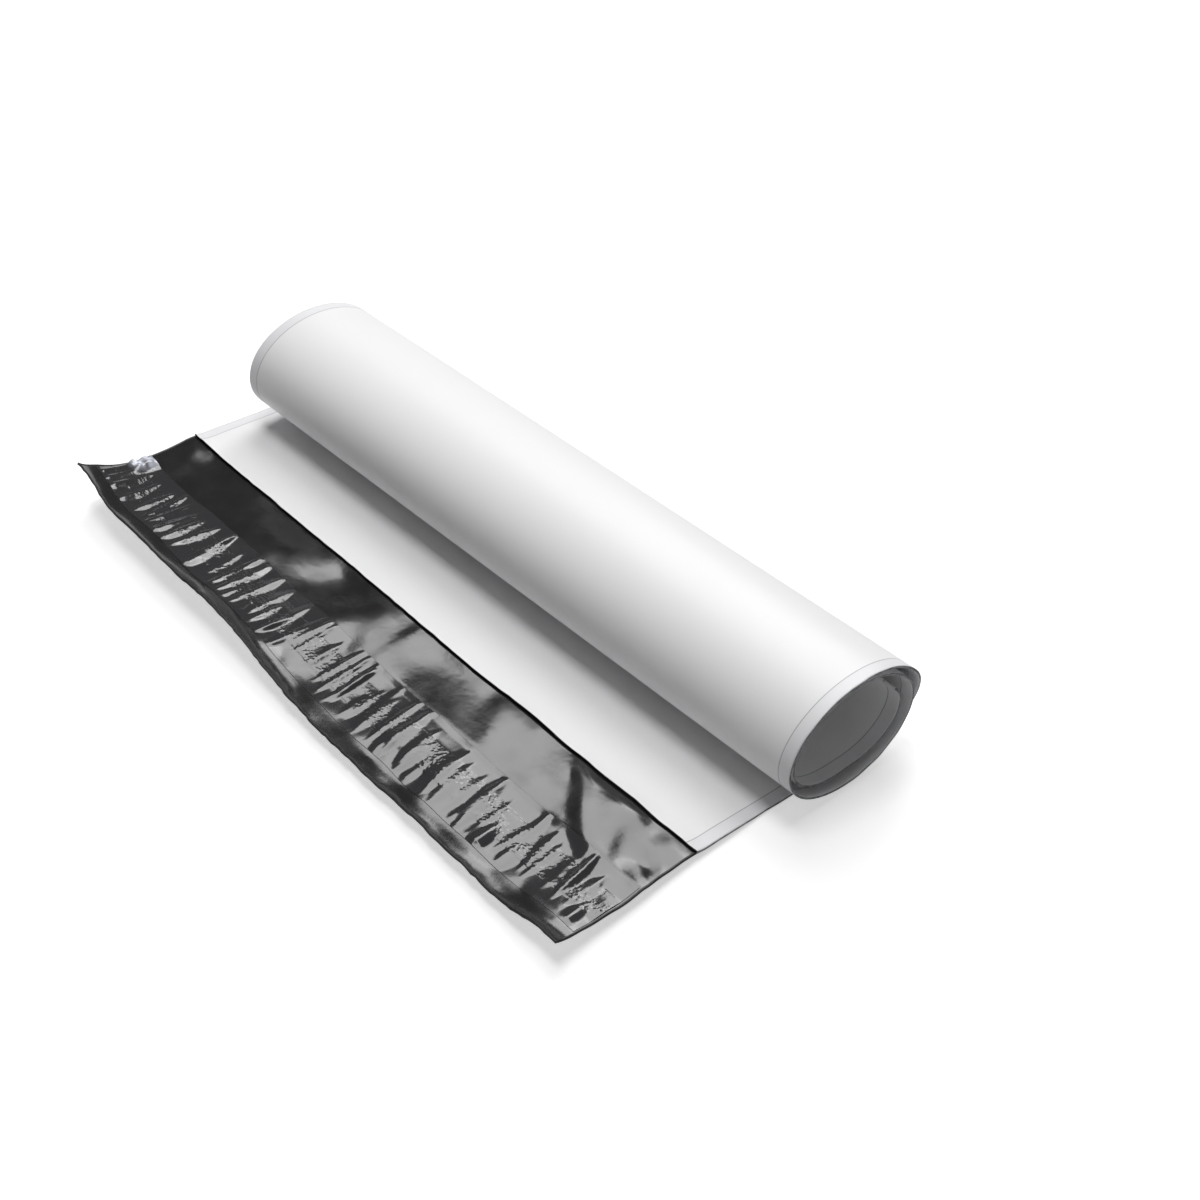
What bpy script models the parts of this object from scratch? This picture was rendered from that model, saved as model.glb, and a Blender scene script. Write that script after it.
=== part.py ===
"""Poly mailer bag, partly rolled up: white film bag, glue strip and release liner.

The bag is drawn flat first, as it leaves the bag machine, and then wound up.
Flat drawing: u runs across the bag, v runs from the free edge of the flap to the
bag's bottom fold, and h is the height above the underside of the back panel.
Wound bag: +X lies along the roll, +Y points from the flap to the roll, +Z is up,
and the origin is the centre of the bounding box at floor level.
"""

import math

import bmesh
import bpy
import numpy as np

MM = 0.001

# Flat bag, in millimetres
BAG_WIDTH = 250.0
BODY_LENGTH = 350.0
FLAP_LENGTH = 50.0
FILM_THICKNESS = 0.4
POCKET_GAP = 0.4
SIDE_WELD = 5.0
BOTTOM_FOLD_RADIUS = 0.5

# Glue strip and its liner on the flap, in millimetres
LINER_FROM_EDGE = 6.5
LINER_WIDTH = 23.5
LINER_THICKNESS = 0.3
LINER_END_MARGIN = 1.0
GLUE_WIDTH = 10.0
GLUE_THICKNESS = 0.3
GLUE_END_MARGIN = 3.0
SEAT_CLEARANCE = 0.3

# Roll, in millimetres: outer size, and how far each turn lies inside the last one
MOUTH_TO_ROLL = 46.5
ROLL_WIDTH = 53.6
ROLL_HEIGHT = 39.9
TURN_STEP_BOTTOM = 1.8
TURN_STEP_TOP = 3.0
INNER_WAVE = 0.45
SLOPE_OF_MOUTH = 0.02
ROLL_SHIFT = 8.5
SHIFT_LENGTH = 50.0
TURN_RECESS = 1.6

# Curl of the flap, in millimetres: how high its free edge is lifted, from where to where
EDGE_CURL_HEIGHT = 2.2
LEFT_CURL_HEIGHT = 7.4
LEFT_CURL_FULL = 85.0
LEFT_CURL_EASE = 65.0
LEFT_CURL_START = LEFT_CURL_FULL + LEFT_CURL_EASE
LEFT_CORNER_HEIGHT = 4.5
LEFT_CORNER_WIDTH = 30.0
RIGHT_CURL_HEIGHT = 3.0
RIGHT_CURL_WIDTH = 25.0
RIGHT_CURL_START = BAG_WIDTH - RIGHT_CURL_WIDTH

# Sideways pull of the flap's free edge, and of its left corner, in millimetres
FLAP_SKEW = 3.0
LEFT_CORNER_PULL = 5.5
LEFT_PULL_WIDTH = 60.0

# Steps that the curved shapes are drawn with
STEPS_PER_TURN = 48
FLAP_ROWS = 7
FLAP_COLUMNS = 14
FOLD_STEPS = 3
SHARP_ANGLE = math.radians(40.0)

# Working room of the cutters, and the smallest length that counts, in millimetres
CUT_MARGIN = 10.0
TINY = 0.001

STACK_HEIGHT = 2.0 * FILM_THICKNESS + POCKET_GAP
ROLL_START = FLAP_LENGTH + MOUTH_TO_ROLL
FULL_LENGTH = FLAP_LENGTH + BODY_LENGTH
MOST_TURNS = 1.5 * BODY_LENGTH / ROLL_HEIGHT / math.pi
TABLE_STEPS = 4000

WHITE_FILM = ("white_ldpe_film", (0.90, 0.90, 0.90), 0.38)
BLACK_FILM = ("black_ldpe_film", (0.012, 0.012, 0.013), 0.18)
GLUE = ("hot_melt_glue", (0.05, 0.05, 0.05), 0.35)
CLEAR_LINER = ("clear_release_liner", (0.10, 0.10, 0.105), 0.12)


def smooth_step(value):
    """Ease from 0 to 1 as the value goes from 0 to 1."""
    x = min(max(value, 0.0), 1.0)
    return x * x * (3.0 - 2.0 * x)


def turn_inset(angle):
    """Depth of the winding below the roll's outer oval at a winding angle."""
    turns = angle / (2.0 * math.pi)
    mean = (TURN_STEP_BOTTOM + TURN_STEP_TOP) / 2.0
    swing = (TURN_STEP_TOP - TURN_STEP_BOTTOM) / 2.0
    wave = INNER_WAVE * max(turns - 1.0, 0.0) * math.cos(3.0 * angle)
    return turns * (mean - swing * math.cos(angle)) + wave


def oval_point(angle, depth):
    """Point (y, z) at a depth inside the roll's outer oval; angle 0 is its lowest line."""
    half_width = ROLL_WIDTH / 2.0
    half_height = ROLL_HEIGHT / 2.0
    normal_y = -half_height * math.sin(angle)
    normal_z = half_width * math.cos(angle)
    size = math.hypot(normal_y, normal_z)
    y = half_width * math.sin(angle) + depth * normal_y / size
    z = half_height * (1.0 - math.cos(angle)) + depth * normal_z / size
    return y, z


def winding_table():
    """Winding angles, and the length of film wound up to each of them."""
    angles = np.linspace(0.0, 2.0 * math.pi * MOST_TURNS, TABLE_STEPS)
    points = np.array([oval_point(angle, turn_inset(angle)) for angle in angles])
    steps = np.hypot(*np.diff(points, axis=0).T)
    return angles, np.concatenate([[0.0], np.cumsum(steps)])


ANGLES, WOUND_LENGTHS = winding_table()


def length_past_start(u, v):
    """Length of film between the line where the roll starts and a flat point."""
    return v - ROLL_START - SLOPE_OF_MOUTH * (u - BAG_WIDTH / 2.0)


def axial_shift(length):
    """Sideways step of the turns: the roll is pushed along, its inner turns less so."""
    turns = float(np.interp(length, WOUND_LENGTHS, ANGLES)) / (2.0 * math.pi)
    return ROLL_SHIFT * smooth_step(length / SHIFT_LENGTH) - TURN_RECESS * max(turns - 0.5, 0.0)


def curl_height(u):
    """Height that the free edge of the flap is lifted to at a place across the bag."""
    left = LEFT_CURL_HEIGHT * smooth_step((LEFT_CURL_START - u) / LEFT_CURL_EASE)
    corner = LEFT_CORNER_HEIGHT * smooth_step(1.0 - u / LEFT_CORNER_WIDTH)
    right = RIGHT_CURL_HEIGHT * smooth_step((u - RIGHT_CURL_START) / RIGHT_CURL_WIDTH)
    return EDGE_CURL_HEIGHT + left + corner + right


def edge_pull(u):
    """Sideways step of the flap's free edge at a place across the bag."""
    return FLAP_SKEW + LEFT_CORNER_PULL * smooth_step(1.0 - u / LEFT_PULL_WIDTH)


def wound_point(u, v, h):
    """Place of a flat point (u, v, h) on the wound bag, in millimetres."""
    length = length_past_start(u, v)
    across = u - BAG_WIDTH / 2.0
    if length >= 0.0:
        angle = float(np.interp(length, WOUND_LENGTHS, ANGLES))
        y, z = oval_point(angle, turn_inset(angle) + h)
        return across + axial_shift(length), y, z
    reach = FLAP_LENGTH - v
    if reach <= 0.0:
        return across, length, h
    curvature = 2.0 * curl_height(u) / FLAP_LENGTH ** 2
    bend = curvature * reach
    out = reach * float(np.sinc(bend / math.pi))
    rise = 0.5 * bend * reach * float(np.sinc(bend / (2.0 * math.pi))) ** 2
    mouth = length + reach
    pulled = across + edge_pull(u) * reach / FLAP_LENGTH
    return pulled, mouth - out + h * math.sin(bend), rise + h * math.cos(bend)


def cut(bm, geometry, place, normal):
    """Cut a bmesh with a plane, keeping both sides."""
    bmesh.ops.bisect_plane(bm, geom=geometry, dist=TINY, plane_co=place, plane_no=normal)


def whole(bm):
    """All the vertices, edges and faces of a bmesh."""
    return bm.verts[:] + bm.edges[:] + bm.faces[:]


def cut_for_flap_curl(bm):
    """Cut the flap into rows and columns, so that it can curl."""
    for row in range(1, FLAP_ROWS + 1):
        cut(bm, whole(bm), (0.0, row * FLAP_LENGTH / FLAP_ROWS, 0.0), (0.0, 1.0, 0.0))
    for column in range(1, FLAP_COLUMNS):
        faces = [face for face in bm.faces if face.calc_center_median().y < FLAP_LENGTH]
        edges = {edge for face in faces for edge in face.edges}
        verts = {vert for face in faces for vert in face.verts}
        place = (column * BAG_WIDTH / FLAP_COLUMNS, 0.0, 0.0)
        cut(bm, list(verts) + list(edges) + faces, place, (1.0, 0.0, 0.0))


def cut_for_winding(bm):
    """Cut the body across at every step of the winding, along the roll's own lines."""
    step = 2.0 * math.pi / STEPS_PER_TURN
    slope = (-SLOPE_OF_MOUTH, 1.0, 0.0)
    count = int(ANGLES[-1] / step)
    for index in range(count):
        length = float(np.interp(index * step, ANGLES, WOUND_LENGTHS))
        if length > FULL_LENGTH - ROLL_START + BAG_WIDTH * SLOPE_OF_MOUTH:
            break
        cut(bm, whole(bm), (BAG_WIDTH / 2.0, ROLL_START + length, 0.0), slope)


def wind_up(bm):
    """Move every vertex from the flat drawing to its place on the wound bag, in metres."""
    for vert in bm.verts:
        vert.co = [value * MM for value in wound_point(*vert.co)]


def flat_block(name, low, high):
    """A new object: one box of the flat drawing between two corners."""
    bm = bmesh.new()
    bmesh.ops.create_cube(bm, size=1.0)
    for vert in bm.verts:
        vert.co = [l + (h - l) * (c + 0.5) for l, h, c in zip(low, high, vert.co)]
    mesh = bpy.data.meshes.new(name)
    bm.to_mesh(mesh)
    bm.free()
    block = bpy.data.objects.new(name, mesh)
    bpy.context.collection.objects.link(block)
    return block


def cut_away(body, cutter):
    """Subtract one flat block from another and remove the cutter."""
    modifier = body.modifiers.new("cut", "BOOLEAN")
    modifier.operation = "DIFFERENCE"
    modifier.solver = "EXACT"
    modifier.object = cutter
    graph = bpy.context.evaluated_depsgraph_get()
    result = bpy.data.meshes.new_from_object(body.evaluated_get(graph))
    body.modifiers.clear()
    body.data = result
    bpy.data.objects.remove(cutter)


def material(name, colour, roughness):
    """A plain Principled material."""
    finish = bpy.data.materials.new(name)
    finish.use_nodes = True
    shader = finish.node_tree.nodes["Principled BSDF"]
    shader.inputs["Base Color"].default_value = (*colour, 1.0)
    shader.inputs["Roughness"].default_value = roughness
    shader.inputs["Metallic"].default_value = 0.0
    return finish


def round_bottom_fold(bm):
    """Round the two long edges where the back panel turns into the front panel."""
    edges = [
        edge for edge in bm.edges
        if all(abs(vert.co.y - FULL_LENGTH) < TINY for vert in edge.verts)
        and abs(edge.verts[0].co.z - edge.verts[1].co.z) < TINY
    ]
    bmesh.ops.bevel(bm, geom=edges, offset=BOTTOM_FOLD_RADIUS, segments=FOLD_STEPS,
                    affect="EDGES", profile=0.5)


def paint_black_inside(bm):
    """Give the black slot to the faces that line the pocket and the flap."""
    low = FILM_THICKNESS - TINY
    high = FILM_THICKNESS + POCKET_GAP + TINY
    for face in bm.faces:
        heights = [vert.co.z for vert in face.verts]
        if min(heights) > low and max(heights) < high:
            face.material_index = 1


def make_film():
    """The bag itself: back panel with flap, bottom fold, front panel and side welds."""
    film = flat_block("mailer_film", (0.0, 0.0, 0.0), (BAG_WIDTH, FULL_LENGTH, STACK_HEIGHT))
    above_flap = flat_block("above_flap", (-CUT_MARGIN, -CUT_MARGIN, FILM_THICKNESS),
                            (BAG_WIDTH + CUT_MARGIN, FLAP_LENGTH, STACK_HEIGHT + CUT_MARGIN))
    cut_away(film, above_flap)
    pocket = flat_block("pocket", (SIDE_WELD, FLAP_LENGTH - CUT_MARGIN, FILM_THICKNESS),
                        (BAG_WIDTH - SIDE_WELD, FULL_LENGTH - FILM_THICKNESS,
                         FILM_THICKNESS + POCKET_GAP))
    cut_away(film, pocket)
    bm = bmesh.new()
    bm.from_mesh(film.data)
    round_bottom_fold(bm)
    paint_black_inside(bm)
    cut_for_flap_curl(bm)
    cut_for_winding(bm)
    wind_up(bm)
    finish_mesh(film, bm, (WHITE_FILM, BLACK_FILM))


def make_flap_strip(name, edge_v, width, margin, bottom, thickness, look):
    """A flat strip along the flap, which curls with it."""
    low = (margin, edge_v, bottom)
    high = (BAG_WIDTH - margin, edge_v + width, bottom + thickness)
    strip = flat_block(name, low, high)
    bm = bmesh.new()
    bm.from_mesh(strip.data)
    cut_for_flap_curl(bm)
    wind_up(bm)
    finish_mesh(strip, bm, (look,))


def finish_mesh(piece, bm, looks):
    """Write the shaped mesh to its object, with its materials and smooth shading."""
    bm.to_mesh(piece.data)
    bm.free()
    piece.data.materials.clear()
    for look in looks:
        piece.data.materials.append(material(*look))
    piece.data.shade_smooth()
    piece.data.set_sharp_from_angle(angle=SHARP_ANGLE)


def centre_on_floor():
    """Move the origin to the middle of the bag's box, at floor level."""
    pieces = [item for item in bpy.context.collection.objects if item.type == "MESH"]
    places = np.array([vert.co for piece in pieces for vert in piece.data.vertices])
    middle = (places.min(axis=0) + places.max(axis=0)) / 2.0
    for piece in pieces:
        piece.location = (-middle[0], -middle[1], -places[:, 2].min())


def main():
    """Build the bag and its strips, and put the origin at their base."""
    for item in list(bpy.data.objects):
        bpy.data.objects.remove(item)
    make_film()
    glue_bottom = FILM_THICKNESS + SEAT_CLEARANCE
    glue_edge = LINER_FROM_EDGE + (LINER_WIDTH - GLUE_WIDTH) / 2.0
    make_flap_strip("adhesive_strip", glue_edge, GLUE_WIDTH, GLUE_END_MARGIN,
                    glue_bottom, GLUE_THICKNESS, GLUE)
    liner_bottom = glue_bottom + GLUE_THICKNESS + SEAT_CLEARANCE
    make_flap_strip("release_liner", LINER_FROM_EDGE, LINER_WIDTH, LINER_END_MARGIN,
                    liner_bottom, LINER_THICKNESS, CLEAR_LINER)
    centre_on_floor()


main()
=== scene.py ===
"""Poly mailer bag, partly rolled up: the finish and fine shape of its film, glue and liner.

The bag is drawn flat, as it leaves the bag machine, and then wound onto the places that the
frame gives. Flat places are in millimetres: u runs across the bag, v runs from the flap's free
edge to the bottom fold, and h is the height above the underside of the back panel.
"""

import logging
import math
from dataclasses import dataclass, field
from enum import Enum

import bmesh
import bpy
import numpy as np
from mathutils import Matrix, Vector


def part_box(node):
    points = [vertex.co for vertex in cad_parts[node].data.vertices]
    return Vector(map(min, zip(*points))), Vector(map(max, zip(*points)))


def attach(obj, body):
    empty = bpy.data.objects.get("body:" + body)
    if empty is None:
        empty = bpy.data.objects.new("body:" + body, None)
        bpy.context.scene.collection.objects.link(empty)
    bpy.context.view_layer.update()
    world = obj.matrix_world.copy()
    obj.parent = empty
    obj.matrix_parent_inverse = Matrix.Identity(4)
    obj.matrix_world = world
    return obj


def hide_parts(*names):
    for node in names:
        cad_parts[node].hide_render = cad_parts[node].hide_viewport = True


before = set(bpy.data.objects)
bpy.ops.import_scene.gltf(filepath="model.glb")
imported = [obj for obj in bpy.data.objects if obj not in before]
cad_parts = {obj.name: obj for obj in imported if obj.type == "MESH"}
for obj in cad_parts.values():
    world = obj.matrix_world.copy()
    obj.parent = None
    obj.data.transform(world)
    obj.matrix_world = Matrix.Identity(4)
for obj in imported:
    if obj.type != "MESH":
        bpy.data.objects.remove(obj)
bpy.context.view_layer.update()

LOG = logging.getLogger("mailer_bag")
MM = 0.001
TURN = 2.0 * math.pi
NOISE_PERIOD = 512
CLOSE = 1e-3

Span = tuple[float, float]
Socket = bpy.types.NodeSocket


def smooth_step(value: np.ndarray) -> np.ndarray:
    """Ease from 0 to 1 as the value goes from 0 to 1."""
    x = np.clip(value, 0.0, 1.0)
    return x * x * (3.0 - 2.0 * x)


def soft_noise(u: np.ndarray, v: np.ndarray, cell_u: float, cell_v: float,
               seed: int) -> np.ndarray:
    """Smooth random heights over the flat film.

    Args:
        u: Places across the bag.
        v: Places along the bag.
        cell_u: Distance between two independent heights across the bag.
        cell_v: Distance between two independent heights along the bag.
        seed: Number that picks the pattern.

    Returns:
        Heights between about -1 and 1.
    """
    x, y = u / cell_u, v / cell_v
    grid = np.random.default_rng(seed).uniform(-1.0, 1.0, (NOISE_PERIOD, NOISE_PERIOD))
    left, low = np.floor(x).astype(int), np.floor(y).astype(int)
    fx, fy = smooth_step(x - left), smooth_step(y - low)
    i, j = left % NOISE_PERIOD, low % NOISE_PERIOD
    next_i, next_j = (i + 1) % NOISE_PERIOD, (j + 1) % NOISE_PERIOD
    below = grid[i, j] * (1.0 - fx) + grid[next_i, j] * fx
    above = grid[i, next_j] * (1.0 - fx) + grid[next_i, next_j] * fx
    return below * (1.0 - fy) + above * fy


def line_noise(place: np.ndarray, cell: float, seed: int) -> np.ndarray:
    """Smooth random heights along one line, between about -1 and 1."""
    return soft_noise(place, np.zeros_like(place), cell, 1.0, seed)


@dataclass(frozen=True)
class Ripples:
    """One pattern of smooth random ripples on the flat film, in millimetres.

    The slant leans the pattern: it is the step across the bag for each millimetre along it.
    """

    across: float
    along: float
    seed: int
    slant: float = 0.0

    def at(self, u: np.ndarray, v: np.ndarray) -> np.ndarray:
        """Height of the pattern at flat places, between about -1 and 1."""
        return soft_noise(u + self.slant * v, v, self.across, self.along, self.seed)


@dataclass(frozen=True)
class CutLine:
    """How far a hot knife's cut wanders: small teeth on a long bow, in millimetres."""

    teeth: float
    teeth_length: float
    bow: float
    bow_length: float
    seed: int

    def wander(self, place: np.ndarray) -> np.ndarray:
        """Step out of line at places along the cut."""
        teeth = self.teeth * line_noise(place, self.teeth_length, self.seed)
        return teeth + self.bow * line_noise(place, self.bow_length, self.seed + 1)


@dataclass(frozen=True)
class Sizes:
    """Sizes of the flat bag and of its roll, in millimetres."""

    width: float = 250.0
    body: float = 350.0
    flap: float = 50.0
    mouth_to_roll: float = 46.5
    roll_width: float = 53.6
    roll_height: float = 39.9
    turn_step_bottom: float = 1.8
    turn_step_top: float = 3.0
    inner_wave: float = 0.45
    inner_waves_per_turn: float = 3.0
    slope_of_mouth: float = 0.02
    roll_shift: float = 8.5
    shift_length: float = 50.0
    turn_recess: float = 1.6
    turns_before_recess: float = 0.5
    edge_curl: float = 2.2
    left_curl: float = 7.4
    left_curl_full: float = 85.0
    left_curl_ease: float = 65.0
    left_corner: float = 4.5
    left_corner_width: float = 30.0
    right_curl: float = 3.0
    right_curl_width: float = 25.0
    flap_skew: float = 3.0
    left_pull: float = 5.5
    left_pull_width: float = 60.0
    liner_from_edge: float = 6.5
    liner_width: float = 23.5
    glue_width: float = 10.0

    @property
    def roll_start(self) -> float:
        """Length from the flap's free edge to the line where the roll starts."""
        return self.flap + self.mouth_to_roll

    @property
    def full(self) -> float:
        """Length from the flap's free edge to the bottom fold."""
        return self.flap + self.body

    @property
    def glue_from_edge(self) -> float:
        """Length from the flap's free edge to the glue."""
        return self.liner_from_edge + (self.liner_width - self.glue_width) / 2.0

    @property
    def glue_middle(self) -> float:
        """Length from the flap's free edge to the middle of the glue."""
        return self.glue_from_edge + self.glue_width / 2.0

    @property
    def liner_top(self) -> float:
        """Length from the flap's free edge to the liner's far edge."""
        return self.liner_from_edge + self.liner_width


SIZES = Sizes()


class Winding:
    """The way from the flat drawing to the wound bag, on the places that the frame gives."""

    MOST_TURNS: float = 4.0
    TABLE_STEPS: int = 4000

    def __init__(self, sizes: Sizes) -> None:
        """Measure the winding once and line it up with the frame.

        Args:
            sizes: Sizes of the flat bag and its roll.
        """
        self.sizes = sizes
        self.angles = np.linspace(0.0, TURN * self.MOST_TURNS, self.TABLE_STEPS)
        y, z = self.oval(self.angles, self.inset(self.angles))
        steps = np.hypot(np.diff(y), np.diff(z))
        self.lengths = np.concatenate([[0.0], np.cumsum(steps)])
        low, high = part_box("mailer_film")
        corner = [low.x / MM + sizes.width / 2.0, high.y / MM - y.max(), low.z / MM]
        self.origin = np.array(corner)

    def inset(self, angle: np.ndarray) -> np.ndarray:
        """Depth of the winding below the roll's outer oval.

        Args:
            angle: Winding angles in radians, from the roll's lowest line on.

        Returns:
            Depths in millimetres.
        """
        size = self.sizes
        turns = angle / TURN
        mean = (size.turn_step_bottom + size.turn_step_top) / 2.0
        swing = (size.turn_step_top - size.turn_step_bottom) / 2.0
        inner = np.maximum(turns - 1.0, 0.0)
        wave = size.inner_wave * inner * np.cos(size.inner_waves_per_turn * angle)
        return turns * (mean - swing * np.cos(angle)) + wave

    def oval(self, angle: np.ndarray, depth: np.ndarray) -> tuple[np.ndarray, np.ndarray]:
        """Points at a depth inside the roll's outer oval.

        Args:
            angle: Winding angles in radians; 0 is the roll's lowest line.
            depth: Depths in millimetres.

        Returns:
            Their y and their z in millimetres, from that lowest line.
        """
        half_width, half_height = self.sizes.roll_width / 2.0, self.sizes.roll_height / 2.0
        normal_y, normal_z = -half_height * np.sin(angle), half_width * np.cos(angle)
        size = np.hypot(normal_y, normal_z)
        y = half_width * np.sin(angle) + depth * normal_y / size
        z = half_height * (1.0 - np.cos(angle)) + depth * normal_z / size
        return y, z

    def curl(self, u: np.ndarray) -> np.ndarray:
        """Height that the flap's free edge is lifted to.

        Args:
            u: Places across the bag.

        Returns:
            Heights in millimetres.
        """
        size = self.sizes
        left_start = size.left_curl_full + size.left_curl_ease
        right_start = size.width - size.right_curl_width
        left = smooth_step((left_start - u) / size.left_curl_ease)
        corner = smooth_step(1.0 - u / size.left_corner_width)
        right = smooth_step((u - right_start) / size.right_curl_width)
        lift = size.left_curl * left + size.left_corner * corner + size.right_curl * right
        return size.edge_curl + lift

    def pull(self, u: np.ndarray) -> np.ndarray:
        """Sideways step of the flap's free edge at a place across the bag."""
        size = self.sizes
        return size.flap_skew + size.left_pull * smooth_step(1.0 - u / size.left_pull_width)

    def place(self, u: np.ndarray, v: np.ndarray, h: np.ndarray) -> np.ndarray:
        """Wind flat points up.

        Args:
            u: Places across the bag.
            v: Places along the bag.
            h: Heights above the underside of the back panel, in millimetres.

        Returns:
            Their places on the wound bag in metres, one row each.
        """
        size = self.sizes
        length = v - size.roll_start - size.slope_of_mouth * (u - size.width / 2.0)
        across = u - size.width / 2.0
        angle = np.interp(length, self.lengths, self.angles)
        roll_y, roll_z = self.oval(angle, self.inset(angle) + h)
        shift = size.roll_shift * smooth_step(length / size.shift_length)
        past_recess = np.maximum(angle / TURN - size.turns_before_recess, 0.0)
        shift -= size.turn_recess * past_recess
        reach = np.maximum(size.flap - v, 0.0)
        bend = 2.0 * self.curl(u) / size.flap ** 2 * reach
        out = reach * np.sinc(bend / math.pi)
        rise = 0.5 * bend * reach * np.sinc(bend / TURN) ** 2
        flat_y = length + reach - out + h * np.sin(bend)
        flat_z = rise + h * np.cos(bend)
        wound = length >= 0.0
        x = across + np.where(wound, shift, self.pull(u) * reach / size.flap)
        y = np.where(wound, roll_y, flat_y)
        z = np.where(wound, roll_z, flat_z)
        return (np.stack([x, y, z], axis=1) + self.origin) * MM


def linear(hex_colour: str) -> tuple[float, float, float, float]:
    """Turn an sRGB colour into the linear colour that a shader takes.

    Args:
        hex_colour: The colour as # and six hex digits.

    Returns:
        Linear red, green and blue, and an alpha of 1.
    """
    values = [int(hex_colour[i:i + 2], 16) / 255.0 for i in (1, 3, 5)]
    low = [c / 12.92 if c <= 0.04045 else ((c + 0.055) / 1.055) ** 2.4 for c in values]
    return (low[0], low[1], low[2], 1.0)


def add_node(tree: bpy.types.NodeTree, kind: str, settings: dict | None = None,
             links: dict | None = None) -> bpy.types.Node:
    """Add a node with its settings and links.

    Args:
        tree: The material's node tree.
        kind: Blender's name for the node.
        settings: Values by name: a socket's number or name, or one of the node's own properties.
        links: Output sockets by the input socket that each feeds.

    Returns:
        The new node.
    """
    node = tree.nodes.new(kind)
    for name, value in (settings or {}).items():
        if isinstance(name, str) and hasattr(node, name):
            setattr(node, name, value)
        else:
            node.inputs[name].default_value = value
    for name, output in (links or {}).items():
        tree.links.new(output, node.inputs[name])
    return node


class Surface:
    """A material in the making, with the few patterns that the bag's finishes share."""

    def __init__(self, name: str, ior: float = 1.5) -> None:
        """Start the material.

        Args:
            name: The material's name.
            ior: Index of refraction of its surface.
        """
        self.material = bpy.data.materials.new(name)
        self.material.use_nodes = True
        self.tree = self.material.node_tree
        self.shader = self.tree.nodes["Principled BSDF"]
        self.shader.inputs["IOR"].default_value = ior

    def paint(self, hex_colour: str) -> None:
        """Give the whole surface one colour."""
        self.shader.inputs["Base Color"].default_value = linear(hex_colour)

    def feed(self, socket: str, output: Socket) -> None:
        """Link a pattern to one of the shader's inputs."""
        self.tree.links.new(output, self.shader.inputs[socket])

    def film_map(self) -> Socket:
        """The film's own map, in millimetres across and along the flat film."""
        return add_node(self.tree, "ShaderNodeUVMap", {"uv_map": "film"}).outputs["UV"]

    def object_place(self) -> Socket:
        """Places on the piece itself, in metres."""
        return add_node(self.tree, "ShaderNodeTexCoord").outputs["Object"]

    def coordinate(self, place: Socket, axis: str) -> Socket:
        """One coordinate of a place: X or Y."""
        return add_node(self.tree, "ShaderNodeSeparateXYZ", links={0: place}).outputs[axis]

    def stretched(self, place: Socket, across: float,
                  along: float) -> Socket:
        """A place scaled by one number across the film and by another along it."""
        return add_node(self.tree, "ShaderNodeMapping", {"Scale": (across, along, 1.0)},
                        {"Vector": place}).outputs[0]

    def noise(self, place: Socket, scale: float,
              detail: float) -> Socket:
        """Soft cloudy noise around 0.5, with its lumps per unit and its finer layers."""
        return add_node(self.tree, "ShaderNodeTexNoise", {"Scale": scale, "Detail": detail},
                        {"Vector": place}).outputs[0]

    def cells(self, place: Socket, spacing: float,
              feature: str = "F1") -> Socket:
        """Distance to the nearest of many scattered points, spaced as given."""
        return add_node(self.tree, "ShaderNodeTexVoronoi",
                        {"feature": feature, "Scale": 1.0 / spacing},
                        {"Vector": place}).outputs[0]

    def spread(self, value: Socket, source: Span = (0.0, 1.0),
               target: Span = (0.0, 1.0)) -> Socket:
        """Map a value from one range to another and hold it at the ends.

        Args:
            value: Socket with the value.
            source: The value's range.
            target: The range that it is mapped to.

        Returns:
            The socket with the mapped value.
        """
        ends = dict(zip(("From Min", "From Max", "To Min", "To Max"), source + target))
        return add_node(self.tree, "ShaderNodeMapRange", ends, {"Value": value}).outputs[0]

    def distance_from(self, value: Socket, middle: float) -> Socket:
        """Distance of a value from a number, never negative."""
        offset = add_node(self.tree, "ShaderNodeMath", {"operation": "SUBTRACT", 1: middle},
                          {0: value}).outputs[0]
        return add_node(self.tree, "ShaderNodeMath", {"operation": "ABSOLUTE"},
                        {0: offset}).outputs[0]

    def product(self, first: Socket,
                second: Socket) -> Socket:
        """Two values multiplied."""
        return add_node(self.tree, "ShaderNodeMath", {"operation": "MULTIPLY"},
                        {0: first, 1: second}).outputs[0]

    def blend(self, share: Socket, first: str, second: str) -> Socket:
        """Mix two sRGB colours by the share of the second one."""
        return add_node(self.tree, "ShaderNodeMix",
                        {"data_type": "RGBA", 6: linear(first), 7: linear(second)},
                        {0: share}).outputs[2]

    def bump(self, height: Socket, strength: float, depth: float,
             below: Socket | None = None) -> Socket:
        """Raise the surface by a pattern.

        Args:
            height: Socket with the pattern, from 0 to 1.
            strength: Share of the relief that is shown.
            depth: Height that 1 stands for, in millimetres.
            below: Socket with the relief that this one lies on, if any.

        Returns:
            The socket with the surface's new direction.
        """
        links = {"Height": height}
        if below is not None:
            links["Normal"] = below
        return add_node(self.tree, "ShaderNodeBump",
                        {"Strength": strength, "Distance": depth * MM}, links).outputs[0]


class Ply(Enum):
    """Faces of the film by what they show.

    The film's wall gives its far side the next number up and its rim the one after that.
    """

    WELD_EDGE = 0
    OUTSIDE = 1
    INSIDE = 2
    # CUT_EDGE also carries painted shade: the black band along the front ply's mouth.
    CUT_EDGE = 3


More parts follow.
